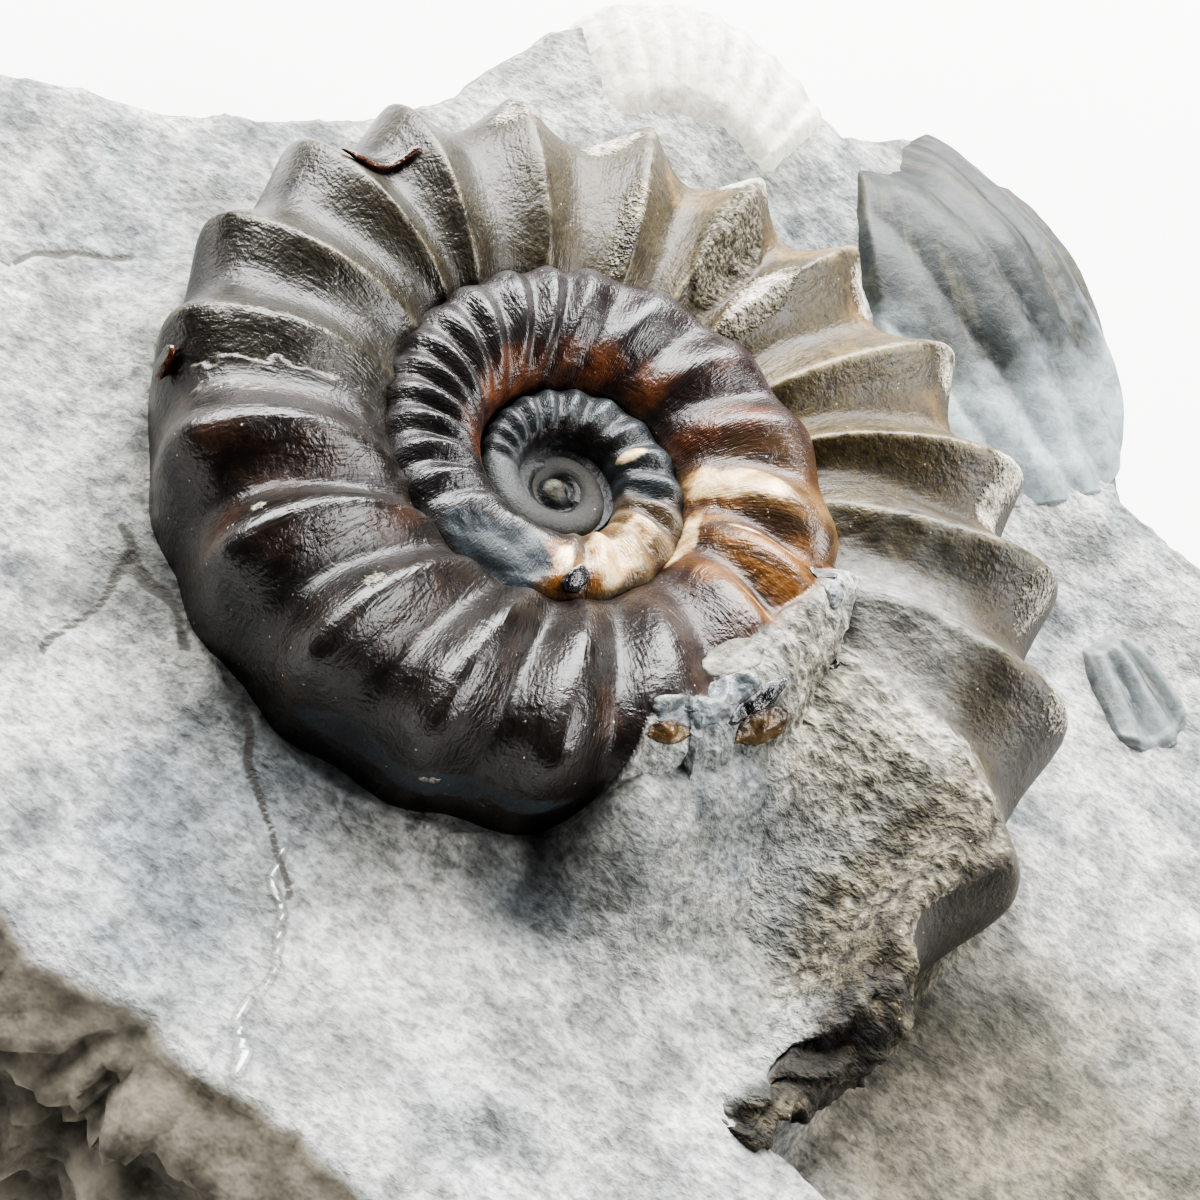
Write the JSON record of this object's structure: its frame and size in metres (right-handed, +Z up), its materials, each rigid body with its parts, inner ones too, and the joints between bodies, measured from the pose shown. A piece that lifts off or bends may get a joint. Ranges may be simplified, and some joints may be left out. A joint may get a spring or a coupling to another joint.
{
  "type": "ammonite fossil",
  "caption": "Coiled ribbed ammonite standing proud of a broken block of pale limestone, with smaller ribbed shells bedded in the stone behind it; rests on its flat underside.",
  "frame": {"origin": "point of the flat underside directly below the ammonite's coil axis", "axes": "+Z up, along the coil axis; -Y towards the broken near corner of the block; +X towards the ammonite's body chamber"},
  "size_m": [0.0753, 0.0712, 0.0241],
  "materials": {
    "limestone": "matt, finely granular, with rough broken sides",
    "calcite_shell": "polished calcite, glossy dark brown to olive grey, satin grey brown at the sediment-filled end",
    "pale_shell": "matt, finely ribbed",
    "grey_shell": "satin blue grey with pale streaks",
    "shell_chip": "satin blue grey"
  },
  "bodies": {
    "root": {"limestone_matrix": "limestone", "ammonite": "calcite_shell", "fan_shell": "pale_shell", "ribbed_shell": "grey_shell", "shell_fragment": "shell_chip"}
  },
  "joints": []
}
